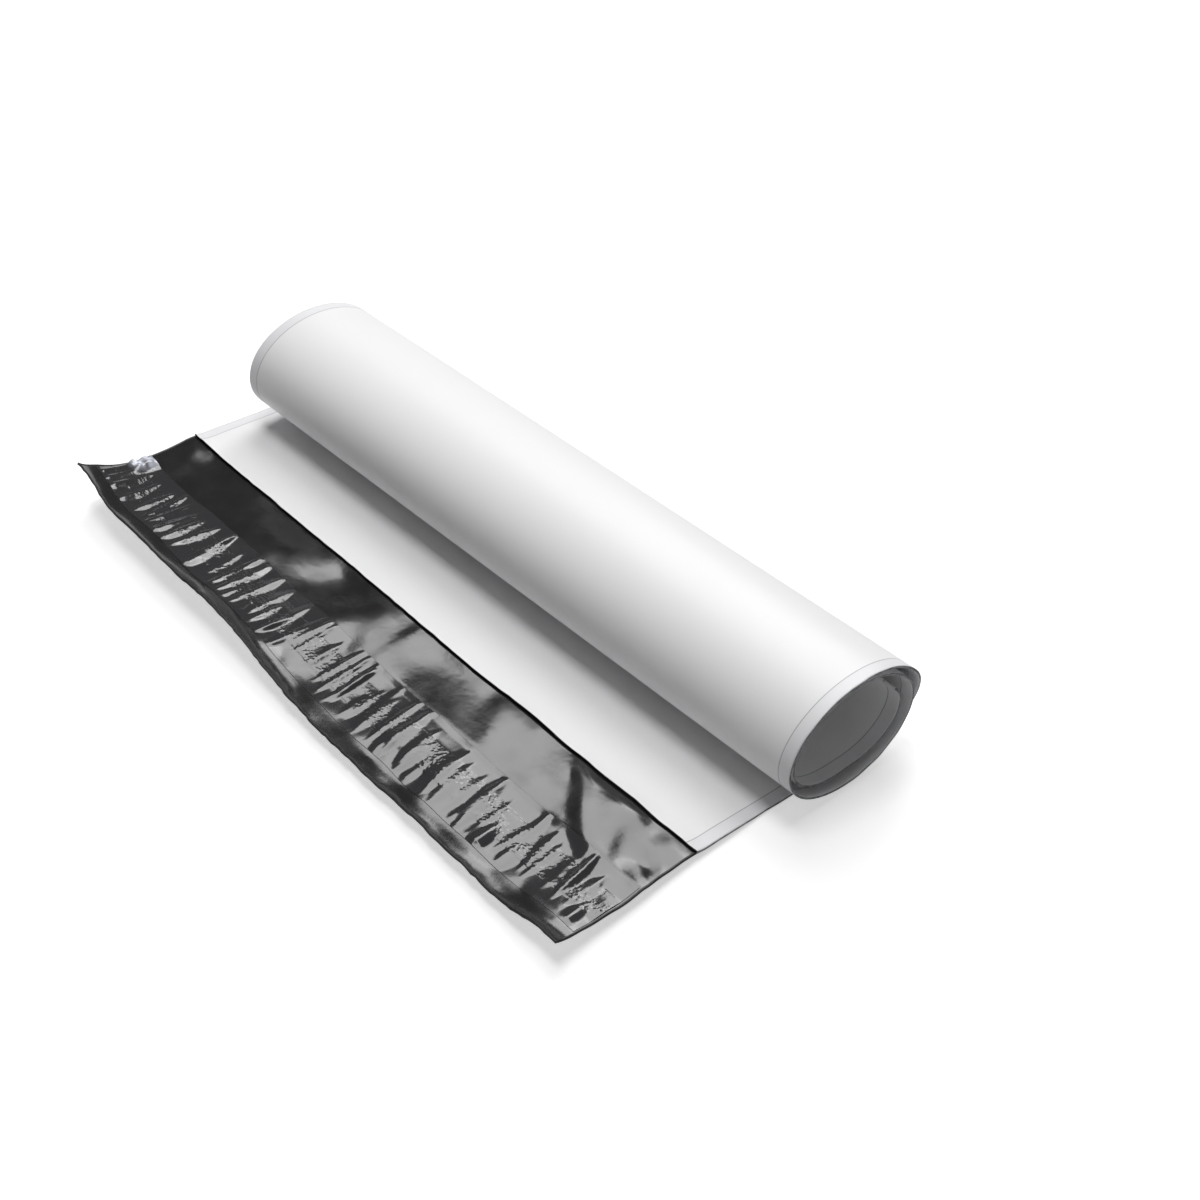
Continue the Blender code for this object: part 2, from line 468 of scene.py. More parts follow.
@dataclass(frozen=True)
class WhiteFilm:
    """Outside of the co-extruded film: blown LDPE filled with titanium white.

    The fill hides all that is behind it, and the blown skin is satin: soft wide highlights.
    """

    colour: str = "#f3f3f4"
    weld_colour: str = "#ececee"
    line_colour: str = "#8f9094"
    line_share: float = 0.85
    line_from_side: float = 3.9
    line_half_width: float = 0.22
    roughness: Span = (0.37, 0.47)
    ior: float = 1.51
    clouds_across: float = 0.09
    clouds_along: float = 0.05
    grain: float = 1.1
    grain_strength: float = 0.2
    grain_depth: float = 0.03
    die_line: float = 2.6
    draw: float = 90.0
    die_line_strength: float = 0.25
    die_line_depth: float = 0.05

    def make(self) -> bpy.types.Material:
        """Build the material: die lines and grain in the skin, and a line along each weld.

        Returns:
            The finished material.
        """
        surface = Surface("ldpe_film_white_satin", self.ior)
        place = surface.film_map()
        from_middle = surface.distance_from(surface.coordinate(place, "X"), SIZES.width / 2.0)
        line_place = SIZES.width / 2.0 - self.line_from_side
        weld = surface.spread(from_middle, (line_place - self.line_half_width, line_place))
        from_line = surface.distance_from(from_middle, line_place)
        line = surface.spread(from_line, (0.0, self.line_half_width), (self.line_share, 0.0))
        base = surface.blend(weld, self.colour, self.weld_colour)
        lined = add_node(surface.tree, "ShaderNodeMix",
                         {"data_type": "RGBA", 7: linear(self.line_colour)},
                         {0: line, 6: base}).outputs[2]
        surface.feed("Base Color", lined)
        patches = surface.stretched(place, self.clouds_across, self.clouds_along)
        surface.feed("Roughness", surface.spread(surface.noise(patches, 1.0, 3.0),
                                                 target=self.roughness))
        drawn = surface.stretched(place, 1.0 / self.die_line, 1.0 / self.draw)
        lines = surface.bump(surface.noise(drawn, 1.0, 2.0), self.die_line_strength,
                             self.die_line_depth)
        fine = surface.noise(place, 1.0 / self.grain, 2.0)
        surface.feed("Normal", surface.bump(fine, self.grain_strength, self.grain_depth, lines))
        return surface.material


@dataclass(frozen=True)
class BlackFilm:
    """Inside of the same film: carbon-filled LDPE from the chill side, glossy and a bit pitted."""

    colour: str = "#1b1b1c"
    roughness: Span = (0.11, 0.22)
    ior: float = 1.66
    clouds: float = 0.12
    cloud_range: Span = (0.3, 0.7)
    swells: float = 0.35
    swell_strength: float = 0.3
    swell_depth: float = 0.12
    gel_spacing: float = 2.4
    pit_range: Span = (0.0, 0.12)
    pit_strength: float = 0.25
    pit_depth: float = 0.04

    def make(self) -> bpy.types.Material:
        """Build the material on the film's own map, which is in millimetres.

        Returns:
            The finished material.
        """
        surface = Surface("ldpe_film_black_gloss", self.ior)
        surface.paint(self.colour)
        place = surface.film_map()
        cloud = surface.noise(place, self.clouds, 4.0)
        surface.feed("Roughness", surface.spread(cloud, self.cloud_range, self.roughness))
        swell = surface.bump(surface.noise(place, self.swells, 3.0), self.swell_strength,
                             self.swell_depth)
        pits = surface.spread(surface.cells(place, self.gel_spacing), self.pit_range)
        surface.feed("Normal", surface.bump(pits, self.pit_strength, self.pit_depth, swell))
        return surface.material


@dataclass(frozen=True)
class CutEdge:
    """Edge left by the hot knife: the two skins melted into a dull black bead, drawn darker than
    the black film, which paints shade into the thin edges and the mouth's gape.
    """

    # Near black, darker than the black film: the bead's own black with painted shade on top.
    colour: str = "#060606"
    roughness: Span = (0.28, 0.53)
    ior: float = 1.51
    lump: float = 0.8
    lump_strength: float = 0.5
    lump_depth: float = 0.1

    def make(self) -> bpy.types.Material:
        """Build the material, with small melted lumps.

        Returns:
            The finished material.
        """
        surface = Surface("ldpe_hot_knife_bead_and_painted_shade", self.ior)
        surface.paint(self.colour)
        lumps = surface.noise(surface.object_place(), 1.0 / (self.lump * MM), 3.0)
        surface.feed("Roughness", surface.spread(lumps, target=self.roughness))
        surface.feed("Normal", surface.bump(lumps, self.lump_strength, self.lump_depth))
        return surface.material


@dataclass(frozen=True)
class WeldEdge:
    """Trimmed edge of a side weld: white and black skins melted together into a satin grey."""

    colour: str = "#8d8e91"
    seam_colour: str = "#4c4d50"
    seam_range: Span = (0.4, 0.7)
    roughness: Span = (0.42, 0.58)
    ior: float = 1.51
    streak: float = 2.4

    def make(self) -> bpy.types.Material:
        """Build the material, streaked where the two skins have not mixed fully.

        Returns:
            The finished material.
        """
        surface = Surface("ldpe_side_weld_edge", self.ior)
        streaks = surface.noise(surface.object_place(), 1.0 / (self.streak * MM), 3.0)
        share = surface.spread(streaks, self.seam_range)
        surface.feed("Base Color", surface.blend(share, self.colour, self.seam_colour))
        surface.feed("Roughness", surface.spread(streaks, target=self.roughness))
        return surface.material


@dataclass(frozen=True)
class ClearLiner:
    """Siliconised clear polypropylene liner, cast and glossy.

    Clear film shows what lies behind it. That is the black film all over, so its body colour is
    drawn black with a slight haze, and the eye sees it by its hard bright wrinkles. Where it is
    crumpled off the flap its colour is painted bluish white: a painted highlight for the glint on
    the crumpled corner. The glue's bubbles press through along the middle.
    """

    colour: str = "#2f2f31"
    # Bluish white on the crumpled corner: a painted highlight for its glint.
    crumple_glint_colour: str = "#e3e6f2"
    roughness: Span = (0.08, 0.17)
    ior: float = 1.66
    clouds: float = 0.2
    grain: float = 0.8
    grain_strength: float = 0.2
    grain_depth: float = 0.05
    bubble: float = 1.15
    bubble_strength: float = 0.7
    bubble_height: float = 0.16
    band_ease: float = 0.3
    patches: float = 0.11
    patch_range: Span = (0.4, 0.6)
    patch_share: Span = (0.15, 1.0)

    def make(self) -> bpy.types.Material:
        """Build the material on the liner's own map, which is in millimetres.

        Returns:
            The finished material.
        """
        surface = Surface("polypropylene_liner_clear", self.ior)
        # The crumple attribute mixes the painted highlight into the crumpled corner's colour.
        crumple = add_node(surface.tree, "ShaderNodeAttribute", {"attribute_name": "crumple"})
        body = surface.blend(crumple.outputs["Fac"], self.colour, self.crumple_glint_colour)
        surface.feed("Base Color", body)
        place = surface.film_map()
        cloud = surface.noise(place, self.clouds, 3.0)
        surface.feed("Roughness", surface.spread(cloud, target=self.roughness))
        soft = surface.bump(surface.noise(place, self.grain, 3.0), self.grain_strength,
                            self.grain_depth)
        bubbles = self.bubbles(surface, place)
        surface.feed("Normal", surface.bump(bubbles, self.bubble_strength, self.bubble_height,
                                            soft))
        return surface.material

    def bubbles(self, surface: Surface, place: Socket) -> Socket:
        """Height of the bubbles that the glue presses through the liner's middle band.

        Args:
            surface: The material in the making.
            place: The film's own map, in millimetres.

        Returns:
            The socket that gives the height, from 0 to 1.
        """
        half = SIZES.glue_width / 2.0
        beside = surface.distance_from(surface.coordinate(place, "Y"), SIZES.glue_middle)
        on_glue = surface.spread(beside, (half + self.band_ease, half - self.band_ease))
        patchy = surface.spread(surface.noise(place, self.patches, 2.0), self.patch_range,
                                self.patch_share)
        cells = surface.cells(place, self.bubble)
        return surface.product(cells, surface.product(on_glue, patchy))


@dataclass(frozen=True)
class HotMelt:
    """Hot-melt pressure-sensitive glue over the black film: dark, tacky, full of small bubbles."""

    colour: str = "#131314"
    roughness: Span = (0.14, 0.44)
    ior: float = 1.52
    clouds: float = 0.5
    bubble: float = 1.3
    bubble_strength: float = 0.8
    bubble_height: float = 0.25

    def make(self) -> bpy.types.Material:
        """Build the material on the glue's own map, which is in millimetres.

        Returns:
            The finished material.
        """
        surface = Surface("hot_melt_glue_bubbly", self.ior)
        surface.paint(self.colour)
        place = surface.film_map()
        cloud = surface.noise(place, self.clouds, 3.0)
        surface.feed("Roughness", surface.spread(cloud, target=self.roughness))
        bubbles = surface.cells(place, self.bubble, "SMOOTH_F1")
        surface.feed("Normal", surface.bump(bubbles, self.bubble_strength, self.bubble_height))
        return surface.material


@dataclass(frozen=True)
class Wrinkle:
    """One straight-sided tension wrinkle across the liner, pointed at both ends, in millimetres."""

    centre: float
    tilt: float
    half_width: float
    height: float
    start: float
    end: float
    least_taper: float = 0.02

    def rise(self, u: np.ndarray, v: np.ndarray) -> np.ndarray:
        """Height of the wrinkle.

        Args:
            u: Places across the bag.
            v: Places along the bag.

        Returns:
            Heights in millimetres.
        """
        along = np.clip((v - self.start) / (self.end - self.start), 0.0, 1.0)
        taper = np.sin(math.pi * along)
        reach = self.half_width * np.maximum(taper, self.least_taper)
        beside = np.abs(u - self.centre - self.tilt * (v - self.start))
        return self.height * taper * np.maximum(1.0 - beside / reach, 0.0)


@dataclass(frozen=True)
class Fold:
    """One soft slanting step in the flap's film that starts at the mouth, in millimetres."""

    centre: float
    tilt: float
    width: float
    height: float
    low: float

    def rise(self, u: np.ndarray, v: np.ndarray) -> np.ndarray:
        """Height of the step.

        Args:
            u: Places across the bag.
            v: Places along the bag.

        Returns:
            Heights in millimetres.
        """
        beside = u - self.centre - self.tilt * (v - self.low)
        fade = smooth_step((v - self.low + self.width) / self.width)
        return self.height * fade * smooth_step(0.5 + beside / self.width)


@dataclass(frozen=True)
class WrinkleRanges:
    """Ranges that the liner's wrinkles are drawn from, in millimetres.

    Taut ones cross the liner at the flap's left; the loose ones after them are a closer mix.
    """

    seed: int = 41
    taut_end: float = 84.0
    taut_spacing: float = 5.6
    taut_first: float = 0.6
    taut_shift: Span = (-0.3, 0.3)
    taut_tilt: Span = (-0.26, -0.08)
    taut_half_width: Span = (2.1, 3.2)
    taut_slope: Span = (0.24, 0.36)
    taut_before: Span = (-2.0, 7.0)
    taut_after: Span = (-3.0, 7.0)
    loose_count: int = 66
    loose_start: Span = (-6.0, 6.0)
    loose_shift: Span = (-0.45, 0.45)
    loose_tilt: Span = (-0.20, -0.02)
    loose_half_width: Span = (1.1, 3.4)
    loose_height: Span = (0.25, 0.85)
    loose_length: Span = (15.0, 33.0)
    loose_past: float = 5.0

    def draw(self, sizes: Sizes) -> list[Wrinkle]:
        """Draw the wrinkles: long steep ones where the liner is taut, then a closer mix.

        Args:
            sizes: Sizes of the flat bag.

        Returns:
            The wrinkles from left to right.
        """
        wrinkles = []
        draw = np.random.default_rng(self.seed)
        low, top = sizes.liner_from_edge, sizes.liner_top
        for index in range(round(self.taut_end / self.taut_spacing)):
            place = index + self.taut_first + draw.uniform(*self.taut_shift)
            tilt = draw.uniform(*self.taut_tilt)
            half_width = draw.uniform(*self.taut_half_width)
            wrinkles.append(Wrinkle(
                centre=place * self.taut_spacing,
                tilt=tilt,
                half_width=half_width,
                height=half_width * draw.uniform(*self.taut_slope),
                start=low - draw.uniform(*self.taut_before),
                end=top + draw.uniform(*self.taut_after),
            ))
        first_loose = round(self.loose_count * self.taut_end / sizes.width)
        step = sizes.width / self.loose_count
        for index in range(first_loose, self.loose_count):
            start = low + draw.uniform(*self.loose_start)
            wrinkles.append(Wrinkle(
                centre=(index + draw.uniform(*self.loose_shift)) * step,
                tilt=draw.uniform(*self.loose_tilt),
                half_width=draw.uniform(*self.loose_half_width),
                height=draw.uniform(*self.loose_height),
                start=start,
                end=min(start + draw.uniform(*self.loose_length), top + self.loose_past),
            ))
        return wrinkles


@dataclass
class FlapShape:
    """Ripples that the flap, its glue and its liner share, and the liner's own wrinkles."""

    sizes: Sizes = SIZES
    film_height: float = 0.36
    swell: float = 1.72
    swell_ripples: Ripples = Ripples(across=24.0, along=19.0, seed=2708)
    ripple: float = 0.53
    mid_ripples: Ripples = Ripples(across=10.0, along=26.0, seed=2364, slant=0.3)
    small: float = 0.05
    small_ripples: Ripples = Ripples(across=5.5, along=9.0, seed=7)
    handled_start: float = 218.0
    handled_ease: float = 14.0
    handled_height: float = 0.34
    handled_ripples: Ripples = Ripples(across=7.0, along=6.0, seed=71, slant=0.6)
    mouth_fade: float = 10.0
    edge_share: float = 0.35
    edge_fade: float = 9.0
    lip_height: float = 1.1
    panel_fade: float = 40.0
    folds: tuple[Fold, ...] = (
        Fold(centre=223.0, tilt=-1.06, width=10.0, height=1.0, low=31.0),
        Fold(centre=131.0, tilt=-0.12, width=3.4, height=0.28, low=31.0),
    )
    liner_height: float = 0.18
    liner_edge_fade: float = 1.3
    glue_swell: float = 0.14
    glue_hold: float = 0.3
    glue_flat_share: float = 0.3
    glue_ease: float = 3.0
    crumple_height: float = 0.9
    crumple_cell: float = 2.3
    crumple_seed: int = 10
    crumple_width: float = 9.0
    crumple_width_ease: float = 5.0
    crumple_depth: float = 11.0
    crumple_depth_ease: float = 4.0
    wrinkles: list[Wrinkle] = field(default_factory=lambda: WrinkleRanges().draw(SIZES))

    def film(self, u: np.ndarray, v: np.ndarray) -> np.ndarray:
        """Height of the middle of the flap's film above the flat drawing's floor.

        Args:
            u: Places across the bag.
            v: Places along the bag.

        Returns:
            Heights in millimetres.
        """
        size = self.sizes
        wide, mid = self.swell_ripples.at(u, v), self.mid_ripples.at(u, v)
        waves = self.swell * (0.5 + 0.5 * wide) + self.ripple * (1.0 + mid)
        waves += self.small * (1.0 + self.small_ripples.at(u, v))
        waves += sum(fold.rise(u, v) for fold in self.folds)
        handled = smooth_step((u - self.handled_start) / self.handled_ease)
        waves += self.handled_height * handled * (1.0 + self.handled_ripples.at(u, v))
        near_mouth = smooth_step((size.flap + self.mouth_fade / 2.0 - v) / self.mouth_fade)
        stiff_edge = self.edge_share + (1.0 - self.edge_share) * smooth_step(v / self.edge_fade)
        lip = self.lip_height * np.maximum(1.0 - v / size.liner_from_edge, 0.0) ** 2
        mean = 0.5 * self.swell + self.ripple + self.small
        lifted = mean * smooth_step((size.flap + self.panel_fade - v) / self.panel_fade)
        return self.film_height + (waves - mean) * near_mouth * stiff_edge + lifted + lip

    def liner(self, u: np.ndarray, v: np.ndarray) -> np.ndarray:
        """Height of the liner's underside above the middle of the film.

        Args:
            u: Places across the bag.
            v: Places along the bag.

        Returns:
            Heights in millimetres.
        """
        size = self.sizes
        total = np.zeros_like(u)
        for wrinkle in self.wrinkles:
            total += wrinkle.rise(u, v)
        off_glue = np.abs(v - size.glue_middle) - self.glue_flat_share * size.glue_width
        stuck = 1.0 - smooth_step(off_glue / self.glue_ease)
        cell = self.crumple_cell
        peaks = 1.0 + soft_noise(u + v, v - u, cell, cell, self.crumple_seed)
        crumpled = self.crumple(u, v) * peaks
        from_edge = np.minimum(v - size.liner_from_edge, size.liner_top - v)
        raised = smooth_step(from_edge / self.liner_edge_fade) * (1.0 - self.glue_hold * stuck)
        flat = self.liner_height + self.glue_swell * stuck
        return flat + total * raised + self.crumple_height * crumpled

    def crumple(self, u: np.ndarray, v: np.ndarray) -> np.ndarray:
        """Share of crumpling at the liner's lifted left corner.

        Args:
            u: Places across the bag.
            v: Places along the bag.

        Returns:
            Shares from 0 to 1.
        """
        past = v - self.sizes.liner_top + self.crumple_depth
        across = smooth_step((self.crumple_width - u) / self.crumple_width_ease)
        return across * smooth_step(past / self.crumple_depth_ease)


@dataclass
class FilmBag:
    """The bag's one film: back panel with flap, bottom fold, front panel and side welds."""

    winding: Winding
    shape: FlapShape
    sizes: Sizes = SIZES
    film_thickness: float = 0.3
    bead_thickness: float = 0.72
    bead_border: float = 0.5
    mouth_bead_share: float = 0.3
    # Width of the front ply's white outside painted in the bead's black along the mouth: partly the
    # black inner film seen on edge, partly painted shade in the gape.
    mouth_bead_and_shade_band: float = 0.2
    ply_step: float = 0.55
    weld_step: float = 0.34
    weld_width: float = 4.0
    weld_share: float = 0.6
    mouth_gape: float = 0.45
    least_gape: float = 0.4
    gape_length: float = 23.0
    gape_seed: int = 31
    gape_reach: float = 2.2
    slack: float = 0.3
    slack_ripples: Ripples = Ripples(across=38.0, along=24.0, seed=32)
    slack_from_mouth: float = 10.0
    slack_from_roll: float = 12.0
    loose_start: float = 205.0
    loose_ease: float = 60.0
    loose_rise: float = 0.9
    loose_wave: float = 1.3
    loose_ripples: Ripples = Ripples(across=60.0, along=13.0, seed=33)
    inner_start: float = 130.0
    inner_ease: float = 40.0
    inner_wave: float = 0.16
    inner_ripples: Ripples = Ripples(across=40.0, along=9.0, seed=34)
    left_cut: CutLine = CutLine(teeth=0.1, teeth_length=4.1, bow=0.2, bow_length=24.0, seed=21)
    right_cut: CutLine = CutLine(teeth=0.1, teeth_length=4.4, bow=0.2, bow_length=26.0, seed=23)
    flap_cut: CutLine = CutLine(teeth=0.25, teeth_length=2.1, bow=0.2, bow_length=21.0, seed=25)
    mouth_cut: CutLine = CutLine(teeth=0.14, teeth_length=2.6, bow=0.35, bow_length=31.0, seed=27)
    side_reach: float = 2.4
    flap_reach: float = 3.2
    mouth_reach: float = 4.0
    side_columns: tuple[float, ...] = (0.0, 0.35, 0.9, 1.8, 3.0, 4.2, 5.6)
    middle_from_side: float = 7.6
    middle_columns: int = 74
    edge_rows: tuple[float, ...] = (0.0, 0.35, 0.9, 1.8)
    flap_from_edge: float = 3.2
    flap_from_mouth: float = 1.6
    flap_rows: int = 28
    mouth_rows: tuple[float, ...] = (-0.5, 0.0, 0.22, 0.7, 1.7, 3.0, 5.0, 8.0)
    panel_from_mouth: float = 12.0
    panel_from_roll: float = 3.0
    panel_rows: int = 8
    wound_from_fold: float = 1.5
    last_row_from_fold: float = 0.4
    steps_per_turn: int = 78

    def columns(self) -> np.ndarray:
        """Places of the mesh columns across the bag.

        Returns:
            The places in millimetres, closer together at both sides.
        """
        side, width = np.array(self.side_columns), self.sizes.width
        inner = self.middle_from_side
        middle = np.linspace(inner, width - inner, self.middle_columns)
        return np.concatenate([side, middle, width - side[::-1]])

    def rows(self) -> tuple[np.ndarray, int]:
        """Places of the mesh rows along the back panel.

        Returns:
            The places in millimetres, and the number of the row at the mouth.
        """
        size = self.sizes
        flap = np.linspace(self.flap_from_edge, size.flap - self.flap_from_mouth, self.flap_rows)
        mouth = size.flap + np.array(self.mouth_rows)
        panel = np.linspace(size.flap + self.panel_from_mouth,
                            size.roll_start - self.panel_from_roll, self.panel_rows)
        angles = np.arange(0.0, self.winding.angles[-1], TURN / self.steps_per_turn)
        wound = size.roll_start + np.interp(angles, self.winding.angles, self.winding.lengths)
        wound = wound[wound < size.full - self.wound_from_fold]
        fold = [size.full - self.last_row_from_fold, size.full]
        rows = np.concatenate([np.array(self.edge_rows), flap, mouth, panel, wound, fold])
        return rows, len(self.edge_rows) + len(flap) + self.mouth_rows.index(0.0)

    def flat_sheet(self) -> bmesh.types.BMesh:
        """Fold one long sheet into the two plies and close its sides.

        Returns:
            A mesh whose vertices hold u, v and the ply (0 back, 1 front).
        """
        columns = self.columns()
        rows, mouth = self.rows()
        strip = np.concatenate([rows, rows[mouth:][::-1]])
        last_i, last_j = len(columns) - 1, len(strip) - 1
        bm = bmesh.new()
        bmesh.ops.create_grid(bm, x_segments=last_i, y_segments=last_j, size=1.0)
        for vert in bm.verts:
            i = round((vert.co.x + 1.0) / 2.0 * last_i)
            j = round((vert.co.y + 1.0) / 2.0 * last_j)
            vert.co = (columns[i], strip[j], float(j >= len(rows)))
        bmesh.ops.reverse_faces(bm, faces=bm.faces)
        for side in (columns[0], columns[-1]):
            edges = [
                edge for edge in bm.edges
                if all(abs(vert.co.x - side) < CLOSE for vert in edge.verts)
                and min(vert.co.y for vert in edge.verts) > rows[mouth] - CLOSE
                and edge.verts[0].co.z == edge.verts[1].co.z
            ]
            bmesh.ops.bridge_loops(bm, edges=edges)
        flap_edges = {
            edge for face in bm.faces if face.calc_center_median().y < rows[mouth]
            for edge in face.edges
        }
        bmesh.ops.subdivide_edges(bm, edges=list(flap_edges), cuts=1, use_grid_fill=True)
        return bm

    def ragged(self, u: np.ndarray, v: np.ndarray,
               front: np.ndarray) -> tuple[np.ndarray, np.ndarray]:
        """Pull the cut edges out of line, as a hot knife leaves them.

        Args:
            u: Places across the bag.
            v: Places along the bag.
            front: 1 on the front ply and 0 on the back ply.

        Returns:
            The new places across and along.
        """
        size = self.sizes
        near_left = smooth_step(1.0 - u / self.side_reach)
        near_right = smooth_step(1.0 - (size.width - u) / self.side_reach)
        across = u + near_left * self.left_cut.wander(v) + near_right * self.right_cut.wander(v)
        near_edge = smooth_step(1.0 - v / self.flap_reach)
        near_mouth = front * smooth_step(1.0 - (v - size.flap) / self.mouth_reach)
        along = v + near_edge * self.flap_cut.wander(u) + near_mouth * self.mouth_cut.wander(u)
        return across, along

    def heights(self, u: np.ndarray, v: np.ndarray, front: np.ndarray) -> np.ndarray:
        """Height of the film's middle above the floor of the flat drawing.

        Args:
            u: Places across the bag.
            v: Places along the bag.
            front: 1 on the front ply and 0 on the back ply.

        Returns:
            Heights in millimetres.
        """
        size = self.sizes
        side = np.minimum(u, size.width - u)
        off_weld = smooth_step(side / self.weld_width - self.weld_share)
        step = self.weld_step + (self.ply_step - self.weld_step) * off_weld
        past_mouth = v - size.flap
        wide = line_noise(u, self.gape_length, self.gape_seed) ** 2
        gape = self.least_gape + (1.0 - self.least_gape) * wide
        closing = np.exp(-np.maximum(past_mouth, 0.0) / self.gape_reach)
        lift = self.mouth_gape * gape * closing
        before_roll = smooth_step((size.mouth_to_roll - past_mouth) / self.slack_from_roll)
        panel = smooth_step(past_mouth / self.slack_from_mouth) * before_roll
        slack = self.slack * (0.5 + 0.5 * self.slack_ripples.at(u, v)) * panel
        wound = v - size.roll_start
        loose = smooth_step((wound - self.loose_start) / self.loose_ease)
        waves = loose * (self.loose_rise + self.loose_wave * self.loose_ripples.at(u, v))
        inside = smooth_step((wound - self.inner_start) / self.inner_ease)
        inner = inside * self.inner_wave * self.inner_ripples.at(u, v)
        base = self.shape.film(u, v)
        return base + slack + waves + inner + front * (step + lift)

    def mark_faces(self, bm: bmesh.types.BMesh) -> None:
        """Give each face of the flat sheet the number of what it shows.

        Args:
            bm: The flat sheet, whose third coordinate is the ply.
        """
        size = self.sizes
        for face in bm.faces:
            middle = face.calc_center_median()
            on_back, on_front = middle.z < CLOSE, middle.z > 1.0 - CLOSE
            border = min(middle.x, size.width - middle.x, middle.y)
            face.material_index = Ply.OUTSIDE.value
            # Painted shade: along the mouth the front ply's white outside takes the bead's black,
            # partly the black inner film seen on edge and partly the shade in the gape.
            if on_front and middle.y < size.flap + self.mouth_bead_and_shade_band:
                face.material_index = Ply.CUT_EDGE.value
            if not on_back and not on_front and middle.y < size.full - CLOSE:
                face.material_index = Ply.WELD_EDGE.value
            if middle.y < size.flap and border < self.bead_border:
                face.material_index = Ply.CUT_EDGE.value

    def build(self, materials: list[bpy.types.Material]) -> bpy.types.Object:
        """Build the film, wound up, with its wall and its cut edges.

        Args:
            materials: Weld edge, white outside, black inside and cut edge.

        Returns:
            The finished object.
        """
        size = self.sizes
        bm = self.flat_sheet()
        self.mark_faces(bm)
        mesh = bpy.data.meshes.new("film_bag")
        bm.to_mesh(mesh)
        bm.free()
        flat = read_places(mesh)
        u, v, front = flat[:, 0], flat[:, 1], flat[:, 2]
        write_map(mesh, u, np.where(front > 0.5, 2.0 * size.full - v, v))
        across, along = self.ragged(u, v, front)
        places = self.winding.place(across, along, self.heights(u, v, front))
        edge = np.minimum(np.minimum(u, size.width - u), v)
        on_flap = (v < size.flap) & (edge < CLOSE)
        on_mouth = (front > 0.5) & (np.abs(v - size.flap) < CLOSE)
        bag = add_piece("film_bag", mesh, places, materials)
        bead = bag.vertex_groups.new(name="bead")
        for index in np.nonzero(on_flap | on_mouth)[0]:
            share = 1.0 if on_flap[index] else self.mouth_bead_share
            bead.add([int(index)], share, "REPLACE")
        wall = bag.modifiers.new("film_wall", "SOLIDIFY")
        wall.thickness = self.bead_thickness * MM
        wall.offset = 0.0
        wall.use_even_offset = True
        wall.vertex_group = "bead"
        wall.thickness_vertex_group = self.film_thickness / self.bead_thickness
        wall.material_offset = Ply.INSIDE.value - Ply.OUTSIDE.value
        wall.material_offset_rim = Ply.CUT_EDGE.value - Ply.OUTSIDE.value
        return bag


@dataclass
class FlapStrip:
    """A thin strip along the flap that follows its ripples: the glue or its liner."""

    name: str
    winding: Winding
    shape: FlapShape
    low: float
    width: float
    margin: float
    thickness: float
    column_step: float
    row_step: float
    end_cell: float = 0.06
    near_step: float = 0.4
    fray: float = 0.35
    fray_reach: float = 2.0
    low_fray_length: float = 14.0
    low_fray_seed: int = 51
    high_fray_length: float = 11.0
    high_fray_seed: int = 52

    def heights(self, u: np.ndarray, v: np.ndarray) -> np.ndarray:
        """Height of the strip's underside above the floor of the flat drawing."""
        raise NotImplementedError

    def mark(self, mesh: bpy.types.Mesh, u: np.ndarray, v: np.ndarray) -> None:
        """Write what the finish reads besides the strip's map; a plain strip has nothing."""

    def build(self, material: bpy.types.Material) -> bpy.types.Object:
        """Build the strip on the curled flap, with its thickness.

        Args:
            material: The strip's finish.

        Returns:
            The finished object.
        """
        length = SIZES.width - 2.0 * self.margin
        bm = bmesh.new()
        bmesh.ops.create_grid(bm, x_segments=round(length / self.column_step),
                              y_segments=round(self.width / self.row_step), size=0.5)
        for vert in bm.verts:
            across = self.crisp_end(vert.co.x + 0.5, length, self.column_step)
            along = self.crisp_end(vert.co.y + 0.5, self.width, self.row_step)
            vert.co = (self.margin + across, self.low + along, 0.0)
        mesh = bpy.data.meshes.new(self.name)
        bm.to_mesh(mesh)
        bm.free()
        flat = read_places(mesh)
        u, v = flat[:, 0], flat[:, 1]
        write_map(mesh, u, v)
        self.mark(mesh, u, v)
        places = self.winding.place(u, self.frayed(u, v), self.heights(u, v))
        strip = add_piece(self.name, mesh, places, [material])
        wall = strip.modifiers.new("strip_wall", "SOLIDIFY")
        wall.thickness = self.thickness * MM
        wall.offset = 1.0
        return strip

    def crisp_end(self, share: float, length: float, step: float) -> float:
        """Place of a grid line, with the end cells narrowed so that the edge stays crisp.

        Args:
            share: Place along the strip from 0 to 1, at even steps.
            length: The strip's length in this direction, in millimetres.
            step: Distance between two grid lines, in millimetres.

        Returns:
            The place in millimetres.
        """
        from_end = min(share, 1.0 - share) * length
        is_next = abs(from_end - step) < self.near_step * step
        narrowed = self.end_cell if is_next else from_end
        return narrowed if share < 0.5 else length - narrowed

    def frayed(self, u: np.ndarray, v: np.ndarray) -> np.ndarray:
        """Places along the bag once the strip's two long edges have wandered a little.

        Args:
            u: Places across the bag.
            v: Places along the bag.

        Returns:
            The new places along the bag.
        """
        near_low = smooth_step(1.0 - (v - self.low) / self.fray_reach)
        near_high = smooth_step(1.0 - (self.low + self.width - v) / self.fray_reach)
        low_fray = self.fray * line_noise(u, self.low_fray_length, self.low_fray_seed)
        high_fray = self.fray * line_noise(u, self.high_fray_length, self.high_fray_seed)
        return v + near_low * low_fray + near_high * high_fray


